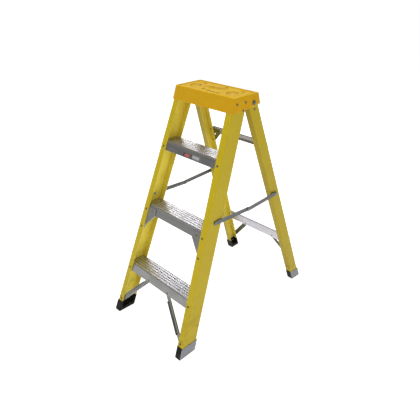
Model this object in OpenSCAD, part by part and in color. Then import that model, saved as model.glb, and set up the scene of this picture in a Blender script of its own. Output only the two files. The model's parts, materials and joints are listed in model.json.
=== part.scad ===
// Folding step ladder with moulded top cap: channel rails, three treads,
// a rear frame hinged under the cap and a two-link spreader on each side.
// Millimetres, +Z up, +X to the right of the climber's side (-Y is the front).
// Origin: middle of the footprint, on the floor.

/* [Overall size] */
// Height from the floor to the rim of the cap
ladder_h = 1125; // [1110:1:1140]
// Depth of the footprint over the rails, front face to rear face
base_depth = 938; // [934:1:942]
// Width over the rail webs at the floor
base_w = 513; // [508:1:516]
// How much each rail leans inward for every unit of height
flare = 0.0693; // [0.0683:0.0001:0.0703]
// Lean of the front rails from upright, degrees
front_lean = 20.45; // [20:0.05:20.8]
// Lean of the rear rails from upright, degrees
rear_lean = 19; // [18.7:0.05:19.3]

/* [Rails] */
// Depth of the front rail channel, front face to rear face
front_d = 84.9; // [82:0.1:87]
// Depth of the rear rail channel
rear_d = 56.16; // [54:0.02:58]
// Flange width of every rail
flange_w = 32.5; // [31:0.5:34]
// Wall thickness of every rail
rail_t = 4.5; // [4:0.1:5]
// Radius of the outer corners of a rail
rail_r = 4; // [3:0.5:5]

/* [Treads] */
// Height of the bottom deck above the floor
first_step = 266; // [262:1:270]
// Rise from one deck to the next
step_rise = 305; // [300:1:306]
// Sheet thickness of the treads
tread_t = 2.2; // [2:0.1:2.5]
// Height of the apron under the front edge, along its slope
apron_h = 43; // [40:1:46]
// Height of the lip under the rear edge, along its slope
rear_lip_h = 24; // [20:1:28]
// Radius of the rounded front edge
nose_r = 5.5; // [5:0.5:6]
// Number of flat bands on each deck, with grooves between them
bands_n = 5; // [4:1:6]

/* [Cap] */
// Half width of the cap at its top
cap_half_w = 183; // [182.5:0.1:184]
// Front of the cap at its top, from the middle of the footprint
cap_front_y = -58; // [-59:0.5:-57]
// Rear of the cap at its top
cap_rear_y = 101; // [100:0.5:102]
// Wall thickness of the cap
cap_t = 2.8; // [2.5:0.1:3]
// Depth of the tray in the top
tray_h = 2; // [1:0.5:2.5]

/* [Hinge and spreaders] */
// Height of the hinge of the rear frame
hinge_z = 1087; // [1085:1:1089]
// Height of the spreader pivots on the rails
spreader_z = 606; // [600:1:612]
// How far the middle joint hangs below the pivots when open
spreader_sag = 10; // [8:1:12]
// Distance of the middle joint behind the front pivot
spreader_front_reach = 219; // [214:1:222]
// Width of the spreader bars
bar_w = 20; // [18:1:22]
// Thickness of the spreader bars
bar_t = 3; // [2.5:0.5:3.5]

/* [Feet] */
// Height of the boots on the feet
boot_h = 53; // [50:1:56]
// Thickness of the boot walls
boot_t = 2.6; // [2.2:0.1:3]
// Height of the rail ends above the floor
rail_end_z = 9; // [8:0.5:10]

/* [Hidden] */
$fn = 48;

rail_yellow = [0.80, 0.72, 0.16];
cap_yellow = [0.88, 0.70, 0.12];
aluminium = [0.66, 0.67, 0.68];
bright_aluminium = [0.78, 0.79, 0.82];
dark_steel = [0.27, 0.30, 0.29];
dull_olive = [0.40, 0.42, 0.20];
rubber_black = [0.06, 0.06, 0.06];

front_y0 = -base_depth / 2;
rear_y0 = base_depth / 2;
front_flare = atan(flare * cos(front_lean));
rear_flare = atan(flare * cos(rear_lean));
step_z = [first_step, first_step + step_rise, first_step + 2 * step_rise];

fit = 0.05;          // radial clearance of a running pin
loose = 0.1;         // radial clearance round a rivet shank
seat_gap = 0.1;      // gap between two sheets that a rivet holds together
face_gap = 0.3;      // gap between faces that move past each other
far = 400;           // longer than any cut needs
sheet = 1.8;         // thickness of the pressed bars, braces and gussets
apron_gap = 0.6;     // gap between a front flange and the apron behind it
lip_gap = 0.3;       // gap between a rear flange and the tread's rear lip
knee_t = 2;          // thickness of the knee braces
pin_r = 4;           // shank radius of the spreader rivets

// Places on a rail: the middle of its web at height z, and the outer face there
function front_mid_y(z) = front_y0 + z * tan(front_lean) + front_d / 2 / cos(front_lean);
function rear_mid_y(z) = rear_y0 - z * tan(rear_lean) - rear_d / 2 / cos(rear_lean);
function front_slope(z, n) = (z + n * sin(front_lean)) / cos(front_lean);
function rear_slope(z, n) = (z + n * sin(rear_lean)) / cos(rear_lean);
function front_web_x(z, n) = base_w / 2 - front_slope(z, n) * tan(front_flare);
function rear_web_x(z, n) = base_w / 2 - rear_slope(z, n) * tan(rear_flare);
function half_w(z) = base_w / 2 - flare * z;

hinge_y = rear_mid_y(hinge_z);
pivot_f = [front_mid_y(spreader_z), spreader_z];
pivot_r = [rear_mid_y(spreader_z) - 4, spreader_z];
pivot_m = [pivot_f[0] + spreader_front_reach, spreader_z - spreader_sag];
link_f_x = front_web_x(spreader_z, front_d / 2) + 1.6;
link_r_x = link_f_x + bar_t + 0.5;

// ---- frames that the rails are drawn in ----

// x across, y through the rail from its front face, z up the slope
module on_front() {
    translate([0, front_y0, 0]) rotate([-front_lean, 0, 0]) children();
}

// x across, y through the rail (its rear face is y = 0), z up the slope
module on_rear() {
    translate([0, rear_y0, 0]) rotate([rear_lean, 0, 0]) children();
}

// the outer face of the right web is x = 0
module front_web_frame() {
    on_front() translate([base_w / 2, 0, 0]) rotate([0, -front_flare, 0]) children();
}

module rear_web_frame() {
    on_rear() translate([base_w / 2, 0, 0]) rotate([0, -rear_flare, 0]) children();
}

module on_side(side) {
    if (side > 0) children();
    else mirror([1, 0, 0]) children();
}

module below(z) {
    translate([-far, -3 * far, z - far]) cube([2 * far, 6 * far, far]);
}

module above(z) {
    translate([-far, -3 * far, z]) cube([2 * far, 6 * far, far]);
}

// Space outside the right web, and space inside it
module outside_front() {
    front_web_frame() translate([0, -far, -100]) cube([60, 2 * far, 1500]);
}

module inside_front() {
    front_web_frame() translate([-60 - rail_t, -far, -100]) cube([60, 2 * far, 1500]);
}

module outside_rear() {
    rear_web_frame() translate([0, -far, -100]) cube([60, 2 * far, 1500]);
}

module inside_rear() {
    rear_web_frame() translate([-60 - rail_t, -far, -100]) cube([60, 2 * far, 1500]);
}

// ---- small shapes ----

// Round-cornered rectangle from true arcs, one corner at the origin
module soft_rect(w, h, r) {
    translate([r, 0]) square([w - 2 * r, h]);
    translate([0, r]) square([w, h - 2 * r]);
    for (x = [r, w - r], y = [r, h - r]) translate([x, y]) circle(r);
}

// Cylinder along +X
module rod_x(r, len) {
    rotate([0, 90, 0]) cylinder(r = r, h = len);
}

// Cylinder along +Y
module rod_y(r, len) {
    rotate([-90, 0, 0]) cylinder(r = r, h = len);
}

// Shallow dome standing on z = 0
module dome(r, h) {
    ball = (r * r + h * h) / (2 * h);
    intersection() {
        translate([0, 0, h - ball]) sphere(ball);
        cylinder(r = r, h = h);
    }
}

// Rivet along +Z: domed head below z = 0, shank to the grip, tail beyond it
module rivet(grip, head_r, head_h, tail_r, tail_h) {
    rotate([180, 0, 0]) dome(head_r, head_h);
    cylinder(r = rivet_r, h = grip);
    translate([0, 0, grip]) cylinder(r1 = tail_r, r2 = tail_r - 1, h = tail_h);
}

module large_rivet(grip) {
    rivet(grip, 6, 2, 4.5, 2.5);
}

module small_rivet(grip) {
    rivet(grip, 4.8, 1.7, 4, 2);
}

// Channel along +Z: web on x = 0, flanges toward -x, depth along +y
module channel(depth, flange, t, r, len) {
    linear_extrude(len) difference() {
        translate([-flange, 0]) square([flange, depth]);
        translate([-flange - 1, t]) square([flange + 1 - t, depth - 2 * t]);
        difference() {
            translate([-r, -1]) square([r + 1, r + 1]);
            translate([-r, r]) circle(r);
        }
        difference() {
            translate([-r, depth - r]) square([r + 1, r + 1]);
            translate([-r, depth - r]) circle(r);
        }
    }
}

// ---- rivet places, in the sloping frames, right side only ----

rivet_r = 2.5;
flange_mid = 19;                         // rivet line, in from the web
rivet_drop = 24;                         // below the deck, front
rear_rivet_drop = 14;                    // below the deck, rear
knee_z = 460;
foot_brace_z = 67;
foot_brace_top_z = 235;
foot_brace_top_x = 72;
knee_apron_x = 158;

// Puts children on the front face of the right front rail at height z, looking in
module at_front_flange(z) {
    on_front() translate([half_w(z) - flange_mid, 0, z / cos(front_lean)])
        rotate([-90, 0, 0]) children();
}

// Puts children on the rear face of the right front rail at height z, looking in
module at_front_back_flange(z) {
    on_front() translate([front_web_x(z, front_d) - flange_mid, front_d, front_slope(z, front_d)])
        rotate([90, 0, 0]) children();
}

// Puts children on the rear face of the right rear rail at height z, looking in
module at_rear_flange(z, x) {
    on_rear() translate([x, 0, z / cos(rear_lean)]) rotate([90, 0, 0]) children();
}

module drill(r, len) {
    translate([0, 0, -10]) cylinder(r = r, h = len + 10);
}

// ---- rails ----

cap_rivet_yz = [[-42, 1096.5], [12, 1096.5], [-5.5, 1064.5]];

module front_rail(side) {
    color(rail_yellow) on_side(side) difference() {
        front_web_frame() translate([0, 0, -60]) channel(front_d, flange_w, rail_t, rail_r, 1320);
        below(rail_end_z);
        above(1112);
        for (z = concat([for (s = step_z) s - rivet_drop], [knee_z, foot_brace_z]))
            at_front_flange(z) drill(rivet_r + loose, 12);
        for (s = step_z) at_front_back_flange(s - rear_rivet_drop) drill(rivet_r + loose, 12);
        for (p = cap_rivet_yz) translate([120, p[0], p[1]]) rod_x(rivet_r + loose, 90);
        translate([150, pivot_f[0], pivot_f[1]]) rod_x(pin_r + loose, 90);
        front_boot_rivet_places() translate([0, 0, -10]) cylinder(r = rivet_r + loose, h = 30);
    }
}

rear_top_s = rear_slope(hinge_z, rear_d / 2) + 12;
rear_bar_upper_z = 864.5;
rear_bar_lower_z = 254.5;
rear_brace_foot = [flange_mid, 84];      // in from the web, height
hinge_plate_z = 1055;

module rear_rail(side) {
    color(rail_yellow) on_side(side) difference() {
        rear_web_frame() translate([0, -rear_d, -60])
            channel(rear_d, flange_w, rail_t, rail_r, rear_top_s + 60);
        below(rail_end_z);
        translate([120, hinge_y, hinge_z]) rod_x(bushing_r, 90);
        translate([120, rear_mid_y(hinge_plate_z), hinge_plate_z]) rod_x(rivet_r + loose, 90);
        translate([150, pivot_r[0], pivot_r[1]]) rod_x(pin_r + loose, 90);
        at_rear_flange(rear_bar_upper_z, upper_rivet_x) drill(rivet_r + loose, 12);
        for (d = [-lower_rivet_step, lower_rivet_step])
            at_rear_flange(rear_bar_lower_z + d, lower_rivet_x) drill(rivet_r + loose, 12);
        at_rear_flange(gusset_foot_z, gusset_foot_x) drill(rivet_r + loose, 12);
        at_rear_flange(rear_brace_foot[1], half_w(rear_brace_foot[1]) - rear_brace_foot[0])
            drill(rivet_r + loose, 12);
        rear_boot_rivet_places() translate([0, 0, -10]) cylinder(r = rivet_r + loose, h = 30);
    }
}

// ---- treads ----

// Through the rail, from its front face: the apron's face and the rear lip's face
apron_n = rail_t + apron_gap;
lip_n = front_d - rail_t - lip_gap;

groove_h = 0.8;                           // depth of the grooves between the bands
ridge_w = 1.7;

// Outline of a tread in (y, z): the origin is level with the deck and over the apron's top
module tread_outline(setback) {
    len = (lip_n - apron_n - setback + nose_r * sin(front_lean)) / cos(front_lean);
    deck_len = len - nose_r;
    translate([nose_r - 1, -tread_t - groove_h]) square([deck_len, tread_t]);
    // rounded nose
    difference() {
        translate([nose_r, -nose_r]) circle(nose_r);
        translate([nose_r, -nose_r]) circle(nose_r - tread_t);
        translate([nose_r, -3 * nose_r]) square(4 * nose_r);
        translate([-nose_r, -3 * nose_r]) square([3 * nose_r, 2 * nose_r]);
    }
    // apron and its turned-in edge
    translate([0, -nose_r]) rotate(-front_lean) translate([0, -apron_h + nose_r]) {
        square([tread_t, apron_h - nose_r + 1]);
        square([9, tread_t]);
    }
    // rear lip and its turned-in edge
    translate([len, 0]) rotate(-front_lean) translate([-tread_t, -rear_lip_h]) {
        square([tread_t, rear_lip_h]);
        translate([-6, 0]) square([6 + tread_t, tread_t]);
    }
    // stiffening rib under the deck
    translate([len * 0.5, -9]) square([tread_t, 8 - groove_h]);
    // flat bands, each with three fine grip ridges
    pitch = (deck_len - 2) / bands_n;
    band = pitch * 0.72;
    for (i = [0 : bands_n - 1]) translate([nose_r + 1 + i * pitch, -groove_h - 0.1]) {
        square([band, groove_h + 0.3]);
        for (k = [0.5, 1.5, 2.5]) translate([band * k / 3 - ridge_w / 2, groove_h + 0.2])
            square([ridge_w, 0.7]);
    }
}

// Half width that fits between the webs down to the bottom of the apron
function tread_half_w(z) = front_web_x(z, front_d) - rail_t / cos(front_flare) - 0.6;

module tread(z, setback) {
    y = front_y0 + (z - nose_r) * tan(front_lean) + (apron_n + setback) / cos(front_lean);
    w = 2 * tread_half_w(z);
    difference() {
        translate([-w / 2, y, z]) rotate([90, 0, 90]) linear_extrude(w) tread_outline(setback);
        for (side = [-1, 1]) on_side(side) {
            at_front_flange(z - rivet_drop) drill(rivet_r + loose, 16);
            at_front_back_flange(z - rear_rivet_drop) drill(rivet_r + loose, 12);
        }
    }
}

knee_setback = 2.2;

module tread_top() {
    color(aluminium) tread(step_z[2], 0);
}

module tread_middle() {
    color(aluminium) difference() {
        tread(step_z[1], knee_setback);
        for (side = [-1, 1]) on_side(side) knee_apron_rivet_place() drill(rivet_r + loose, 16);
    }
}

module tread_bottom() {
    color(aluminium) difference() {
        tread(step_z[0], 0);
        for (side = [-1, 1]) on_side(side) {
            foot_brace_top_place() drill(rivet_r + loose, 16);
            // notch in the turned-in edge, where the foot brace passes
            on_front()
                translate([foot_brace_top_x - 12, brace_n - 0.05, foot_brace_top_z / cos(front_lean) - 18])
                cube([42, 12, 13]);
        }
    }
}

module tread_rivets_front() {
    color(aluminium) for (side = [-1, 1]) on_side(side) for (i = [0 : 2]) {
        setback = i == 1 ? knee_setback : 0;
        at_front_flange(step_z[i] - rivet_drop) large_rivet(apron_n + setback + tread_t + seat_gap);
    }
}

module tread_rivets_rear() {
    color(aluminium) for (side = [-1, 1]) on_side(side) for (z = step_z)
        at_front_back_flange(z - rear_rivet_drop)
            large_rivet(rail_t + lip_gap + tread_t + seat_gap);
}

// ---- knee braces of the middle tread ----

module knee_apron_rivet_place() {
    z = step_z[1] - rivet_drop;
    on_front() translate([knee_apron_x, rail_t + seat_gap, z / cos(front_lean)])
        rotate([-90, 0, 0]) children();
}

// Gusset plate in front of the apron, from its end down to the rail flange
module knee_brace(side) {
    s_top = (step_z[1] - nose_r - 1) / cos(front_lean);
    s_mid = s_top - apron_h + nose_r + 3;
    s_foot = knee_z / cos(front_lean);
    out = function(s) base_w / 2 - s * tan(front_flare) - rail_t - 1.2;
    x_in = half_w(step_z[1]) - flange_w - 52;
    x_foot = half_w(knee_z) - flange_mid;
    color(aluminium) on_side(side) difference() {
        on_front() translate([0, rail_t + seat_gap, 0]) rotate([90, 0, 0]) mirror([0, 0, 1]) {
            linear_extrude(knee_t) polygon([
                [x_in, s_top], [out(s_top), s_top], [out(s_foot + 20), s_foot + 20],
                [x_foot + 9, s_foot - 10], [x_foot - 8, s_foot - 10],
                [x_in + 57, s_mid - 64], [x_in, s_mid]]);
            // turned-back free edge
            linear_extrude(9) polygon([
                [x_in, s_mid], [x_in + 2.4, s_mid], [x_in + 59.2, s_mid - 63.6],
                [x_foot - 5.6, s_foot - 10], [x_foot - 8, s_foot - 10], [x_in + 57, s_mid - 64]]);
        }
        at_front_flange(knee_z) drill(rivet_r + loose, 30);
        at_front_flange(step_z[1] - rivet_drop) drill(rivet_r + loose, 30);
        knee_apron_rivet_place() drill(rivet_r + loose, 30);
    }
}

module knee_brace_rivets() {
    color(aluminium) for (side = [-1, 1]) on_side(side) {
        at_front_flange(knee_z) large_rivet(rail_t + 2 * seat_gap + knee_t);
        knee_apron_rivet_place() small_rivet(apron_gap + knee_setback + tread_t);
    }
}

// ---- foot braces: channel straps from the bottom apron to the rail feet ----

brace_w = 22;
foot_brace_drop = 6;                      // middle line of the strap below its lower rivet
brace_n = apron_n + tread_t + seat_gap;   // front face of the strap, through the rail

module foot_brace_top_place() {
    on_front() translate([foot_brace_top_x, apron_n, foot_brace_top_z / cos(front_lean)])
        rotate([-90, 0, 0]) children();
}

module foot_brace(side) {
    top = [foot_brace_top_x, foot_brace_top_z / cos(front_lean)];
    foot = [half_w(foot_brace_z) - flange_mid, (foot_brace_z - foot_brace_drop) / cos(front_lean)];
    run = foot - top;
    len = norm(run);
    color(aluminium) on_side(side) difference() {
        on_front() translate([top[0], brace_n, top[1]]) rotate([0, atan2(-run[1], run[0]), 0]) {
            // web with round ends, then the two lips that are turned forward
            rotate([-90, 0, 0]) linear_extrude(sheet) {
                translate([0, -brace_w / 2]) square([len, brace_w]);
                intersection() {
                    circle(brace_w / 2);
                    translate([-12, -brace_w / 2]) square([24, brace_w]);
                }
                translate([len, 0]) intersection() {
                    circle(brace_w / 2);
                    translate([-12, -brace_w / 2]) square([21, brace_w]);
                }
            }
            for (z = [-brace_w / 2, brace_w / 2 - sheet]) translate([36, -6.5, z])
                cube([len - 84, 6.5 + sheet, sheet]);
        }
        foot_brace_top_place() drill(rivet_r + loose, 30);
        at_front_flange(foot_brace_z) drill(rivet_r + loose, 30);
        // clear of the web beside it
        front_web_frame() translate([-rail_t - 0.6, -far, -100]) cube([60, 2 * far, 600]);
        // clear of the boot below it
        below(boot_h + 1);
    }
}

module foot_brace_rivets() {
    color(aluminium) for (side = [-1, 1]) on_side(side) {
        foot_brace_top_place() small_rivet(tread_t + sheet + 2 * seat_gap);
        at_front_flange(foot_brace_z) {
            large_rivet(brace_n + sheet + seat_gap);
            // collar between the flange and the strap
            translate([0, 0, rail_t + seat_gap]) cylinder(r = 5.5, h = brace_n - rail_t - 2 * seat_gap);
        }
    }
}

// ---- feet ----

boot_rivet_z = 34;
boot_rivet_n = [24, 61];                  // across the front web
rear_boot_rivet_n = [18, 38];             // across the rear web
boot_r = 5;
boot_plate_t = 2;
inner_wall_t = 3;                         // rubber inside the channel
inner_sole_z = 18;

// Puts children on the outer faces of the webs at the boot rivets, looking in
module front_boot_rivet_places() {
    front_web_frame() for (n = boot_rivet_n)
        translate([0, n, front_slope(boot_rivet_z, n)]) rotate([0, -90, 0]) children();
}

module rear_boot_rivet_places() {
    rear_web_frame() for (n = rear_boot_rivet_n)
        translate([0, -n, rear_slope(boot_rivet_z, n)]) rotate([0, -90, 0]) children();
}

// Outline of the boot round a rail of the given depth; it is flush with the web at x = 0
module boot_outline(depth) {
    w = flange_w + boot_t;
    translate([-w, -boot_t]) intersection() {
        soft_rect(w + boot_r, depth + 2 * boot_t, boot_r);
        square([w, depth + 2 * boot_t]);
    }
}

// The rail's own space, with a little air round it
module rail_core(depth) {
    for (y = [-seat_gap, depth - rail_t - seat_gap]) translate([-flange_w - seat_gap, y, 0])
        cube([flange_w + 2 * seat_gap, rail_t + 2 * seat_gap, 200]);
    translate([-rail_t - seat_gap, -seat_gap, 0]) cube([rail_t + 2 * seat_gap, depth + 2 * seat_gap, 200]);
}

// Grooves across the sole
module sole_grooves(y, n) {
    for (i = [0 : n - 1]) translate([150, y + (i + 0.5) * 14 - n * 7 - 1.5, -1]) cube([150, 3, 2.2]);
}

// Two grooves along the inner side of the sole
module side_grooves(y, len) {
    for (z = [4, 9]) translate([150, y, z]) cube([base_w / 2 - flange_w - boot_t - 148.5, len, 2]);
}

module front_pad(side) {
    y_mid = front_y0 + front_d / 2 / cos(front_lean);
    color(rubber_black) on_side(side) difference() {
        front_web_frame() translate([0, 0, -60]) linear_extrude(boot_h + 120)
            boot_outline(front_d);
        // room for the rail, above its end
        difference() {
            front_web_frame() translate([0, 0, -60]) rail_core(front_d);
            below(rail_end_z);
        }
        // the hollow between the flanges, above the inner sole
        difference() {
            front_web_frame() translate([-flange_w - 3, rail_t + inner_wall_t, -60])
                cube([flange_w + 3 - rail_t - inner_wall_t, front_d - 2 * (rail_t + inner_wall_t), 300]);
            below(inner_sole_z);
        }
        below(0);
        above(boot_h);
        sole_grooves(y_mid, 5);
        side_grooves(front_y0 - 20, front_d + 60);
        front_boot_rivet_places() drill(rivet_r + loose, 20);
    }
}

// Flat metal plate on the outside of the web, with rounded lower corners
module front_boot(side) {
    color(aluminium) on_side(side) difference() {
        front_web_frame() translate([seat_gap, -boot_t, -60])
            cube([boot_plate_t, front_d + 2 * boot_t, boot_h + 120]);
        below(1);
        above(boot_h - 1);
        front_boot_rivet_places() drill(rivet_r + loose, 20);
    }
}

module front_foot_rivets() {
    color(aluminium) for (side = [-1, 1]) on_side(side) front_boot_rivet_places()
        translate([0, 0, -seat_gap - boot_plate_t])
            small_rivet(boot_plate_t + rail_t + inner_wall_t + 2 * seat_gap);
}

module rear_foot(side) {
    y_mid = rear_y0 - rear_d / 2 / cos(rear_lean);
    color(rubber_black) on_side(side) difference() {
        rear_web_frame() translate([0, -rear_d, -60]) linear_extrude(boot_h + 120)
            boot_outline(rear_d);
        difference() {
            rear_web_frame() translate([0, -rear_d, -60]) rail_core(rear_d);
            below(rail_end_z);
        }
        difference() {
            rear_web_frame() translate([-flange_w - 3, -rear_d + rail_t + inner_wall_t, -60])
                cube([flange_w + 3 - rail_t - inner_wall_t, rear_d - 2 * (rail_t + inner_wall_t), 300]);
            below(inner_sole_z);
        }
        below(0);
        above(boot_h);
        sole_grooves(y_mid, 3);
        side_grooves(y_mid - 50, 100);
        rear_boot_rivet_places() drill(rivet_r + loose, 20);
    }
}

// Flat metal plate on the outside of the rear web
module rear_boot(side) {
    color(aluminium) on_side(side) difference() {
        rear_web_frame() translate([seat_gap, -rear_d - boot_t, -60])
            cube([boot_plate_t, rear_d + 2 * boot_t, boot_h + 120]);
        below(1);
        above(boot_h - 1);
        rear_boot_rivet_places() drill(rivet_r + loose, 20);
    }
}

module rear_foot_rivets() {
    color(aluminium) for (side = [-1, 1]) on_side(side) rear_boot_rivet_places()
        translate([0, 0, -seat_gap - boot_plate_t])
            small_rivet(boot_plate_t + rail_t + inner_wall_t + 2 * seat_gap);
}

// ---- cap ----

cap_skirt_z = 1058;                       // lowest point of the skirt
cap_flare_w = 5.5;                        // how far each side wall flares out, top to skirt
cap_flare_f = 20;                         // the same for the front wall
cap_flare_r = 14;                         // and for the rear wall
cap_plate_t = 5;                          // top plate under the tray
cap_edge = [[0, 3.5], [0.5, 1.6], [1.5, 0.55], [3.5, 0]];    // rounded rim: depth, inset
cap_corner_r = 6;
cap_boss_r = 8;

// One level of the cap's outer shape, grown by g at height z
module cap_level(z, g, inset) {
    k = (ladder_h - z) / (ladder_h - cap_skirt_z);
    w = cap_half_w + k * cap_flare_w - inset;
    front = cap_front_y - k * cap_flare_f + inset;
    rear = cap_rear_y + k * cap_flare_r - inset;
    r = cap_corner_r - inset;
    translate([0, 0, z - g]) linear_extrude(g) {
        translate([-w + r, front]) square([2 * (w - r), rear - front]);
        translate([-w, front + r]) square([2 * w, rear - front - 2 * r]);
        for (x = [-w + r, w - r], y = [front + r, rear - r]) translate([x, y]) circle(r, $fn = 32);
    }
}

// The line that the lower edge of the skirt follows, seen from the side
module skirt_cut() {
    y0 = cap_front_y - cap_flare_f - 5;
    y1 = cap_rear_y + cap_flare_r + 5;
    rotate([90, 0, 90]) translate([0, 0, -far]) linear_extrude(2 * far)
        polygon([[y0, cap_skirt_z - 30], [y0, 1063], [-60, 1063], [-21, 1061], [-11, 1058.5],
            [0, 1060], [7, 1066.5], [34, 1066.5], [54, 1071], [72, 1071], [88, 1075], [y1, 1075],
            [y1, cap_skirt_z - 30]]);
}

// The tray in the top, and the seats pressed into its floor
module tray() {
    floor_z = ladder_h - tray_h;
    border = 11;
    translate([-cap_half_w + border, cap_front_y + border, floor_z])
        linear_extrude(10) soft_rect(2 * cap_half_w - 2 * border, cap_rear_y - cap_front_y - 2 * border, 9);
    for (x = [-118, 110]) translate([x, 10, floor_z - 3]) difference() {
        cylinder(r = 27, h = 10);
        translate([0, 0, -1]) cylinder(r = 19, h = 3);
    }
    for (p = [[-45, -13], [23, 68], [-112, 66], [128, 62]])
        translate([p[0], p[1], floor_z - 3.5]) cylinder(r = 8.5, h = 10);
    // long tool seat near the front edge
    translate([-12, -34, floor_z - 2.5]) linear_extrude(10) soft_rect(78, 12, 5.9);
}

// Raised diagonal grip ribs on the tray floor
module tray_ribs() {
    for (i = [0 : 6]) translate([-78 + i * 15, 20, ladder_h - tray_h - 0.5]) rotate([0, 0, -38])
        linear_extrude(1.7) soft_rect(5, 46, 2.4);
}

module top_cap() {
    color(cap_yellow) {
        difference() {
            hull() {
                for (e = cap_edge) cap_level(ladder_h - e[0], 0.1, e[1]);
                cap_level(cap_skirt_z, 0.1, 0);
            }
            hull() {
                cap_level(ladder_h - tray_h - cap_plate_t, 0.1, cap_t);
                cap_level(cap_skirt_z - 0.2, 0.1, cap_t);
            }
            skirt_cut();
            tray();
            for (side = [-1, 1]) on_side(side) {
                translate([150, hinge_y, hinge_z]) rod_x(bolt_r + loose, 60);
                for (p = cap_rivet_yz) translate([120, p[0], p[1]]) rod_x(rivet_r + loose, 90);
            }
        }
        tray_ribs();
        // bosses that the front rails' webs bear on
        for (side = [-1, 1]) on_side(side) difference() {
            intersection() {
                for (p = cap_rivet_yz) translate([170, p[0], p[1]])
                    rod_x(cap_boss_r, cap_wall_x(p[1]) - 171);
                outside_front();
            }
            for (p = cap_rivet_yz) translate([120, p[0], p[1]]) rod_x(rivet_r + loose, 90);
        }
        // ribs under the top plate, between the rails
        rib_z = ladder_h - tray_h - cap_plate_t - 12;
        for (x = [-105, -35, 35, 105]) translate([x - 1.25, cap_front_y, rib_z])
            cube([2.5, cap_rear_y - cap_front_y, 12.5]);
        translate([-144, 20, rib_z]) cube([288, 2.5, 12.5]);
    }
}

// Rivets through the cap's side walls and the webs of the front rails
module cap_rivets() {
    color(dark_steel) for (side = [-1, 1]) on_side(side) for (p = cap_rivet_yz) {
        x_out = cap_wall_x(p[1]) + 0.5;
        x_in = front_web_x(p[1], front_d / 2) - rail_t - 1.6;
        translate([x_out, p[0], p[1]]) rotate([0, -90, 0])
            large_rivet(x_out - x_in);
    }
}

function cap_wall_x(z) = cap_half_w + cap_flare_w * (ladder_h - z) / (ladder_h - cap_skirt_z);

// ---- hinge ----

bolt_r = 5;
bushing_r = 7.5;
hinge_web_x = rear_web_x(hinge_z, rear_d / 2);
bushing_out_x = hinge_web_x + 1.6;
bushing_in_x = hinge_web_x - rail_t - 5.5;

// Hexagon-headed bolt, its head outside the cap
module hinge_bolt(side) {
    x = cap_wall_x(hinge_z) + 0.9;
    color(dark_steel) on_side(side) translate([x, hinge_y, hinge_z]) {
        rod_x(10, 1.6);
        translate([1.6, 0, 0]) rotate([0, 90, 0]) cylinder(r = 8.5, h = 4, $fn = 6);
        translate([5.6, 0, 0]) rotate([0, 90, 0]) dome(6.5, 0.8);
        translate([bushing_in_x - 9 - x, 0, 0]) rod_x(bolt_r, x + 9 - bushing_in_x);
    }
}

module hinge_nut(side) {
    color(dark_steel) on_side(side) translate([bushing_in_x - face_gap - 6, hinge_y, hinge_z]) difference() {
        union() {
            rotate([0, 90, 0]) cylinder(r = 8.5, h = 5, $fn = 6);
            translate([5, 0, 0]) rod_x(9, 1);
        }
        translate([-1, 0, 0]) rod_x(bolt_r, 8);
    }
}

// Flanged bush in the rear rail: the bolt runs in it
module hinge_bushing(side) {
    color(rubber_black) on_side(side) difference() {
        union() {
            intersection() {
                translate([hinge_web_x - 4, hinge_y, hinge_z]) rod_x(12, bushing_out_x - hinge_web_x + 4);
                outside_rear();
            }
            translate([bushing_in_x, hinge_y, hinge_z]) rod_x(bushing_r - 0.02, bushing_out_x - bushing_in_x);
        }
        translate([bushing_in_x - 1, hinge_y, hinge_z]) rod_x(bolt_r + fit, 30);
    }
}

// Steel plate inside the top of the rear rail
module hinge_plate(side) {
    s_mid = rear_slope(hinge_z, rear_d / 2);
    color(dark_steel) on_side(side) difference() {
        rear_web_frame() translate([-rail_t - 3.1, -rear_d / 2 - 17, s_mid - 46])
            rotate([90, 0, 90]) linear_extrude(3) soft_rect(34, 57, 8);
        translate([120, hinge_y, hinge_z]) rod_x(bushing_r, 90);
        translate([120, rear_mid_y(hinge_plate_z), hinge_plate_z]) rod_x(rivet_r + loose, 90);
    }
}

module hinge_plate_rivets() {
    s = rear_slope(hinge_plate_z, rear_d / 2);
    x_out = rear_web_x(hinge_plate_z, rear_d / 2) + 0.5;
    color(dark_steel) for (side = [-1, 1]) on_side(side)
        translate([x_out, rear_mid_y(hinge_plate_z), hinge_plate_z]) rotate([0, -90, 0])
            large_rivet(rail_t + 4.6);
}

// ---- rear bars, gussets and braces ----

upper_bar_h = 27;
upper_rivet_x = half_w(rear_bar_upper_z) - flange_mid;
lower_bar_h = 63;
lower_rivet_x = half_w(rear_bar_lower_z) - flange_mid;
lower_rivet_step = 16;
gusset_foot_z = 803;
gusset_foot_x = half_w(gusset_foot_z) - flange_mid;
gusset_reach = 118;                       // inner end of the gusset, from the middle
gusset_rivet_z = rear_bar_upper_z - 5;    // rivet that joins gusset and bar near that end
upper_bar_y = 2 * seat_gap + sheet;       // the bar lies behind the gussets
brace_top_x = 100;

// Bar behind the gussets: its top edge is turned back, its bottom edge forward between them
module rear_bar_upper() {
    w = half_w(rear_bar_upper_z) - 5;
    s = rear_bar_upper_z / cos(rear_lean);
    color(aluminium) difference() {
        on_rear() translate([0, upper_bar_y, s]) {
            translate([-w, 0, -upper_bar_h / 2]) cube([2 * w, sheet, upper_bar_h]);
            translate([-w + 26, 0, upper_bar_h / 2 - sheet]) cube([2 * w - 52, 9, sheet]);
            translate([6 - gusset_reach, -8, -upper_bar_h / 2]) cube([2 * gusset_reach - 12, 9, sheet]);
        }
        for (side = [-1, 1]) on_side(side) {
            at_rear_flange(rear_bar_upper_z, upper_rivet_x) drill(rivet_r + loose, 12);
            at_rear_flange(gusset_rivet_z, gusset_reach + 12) drill(rivet_r + loose, 12);
        }
    }
}

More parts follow.
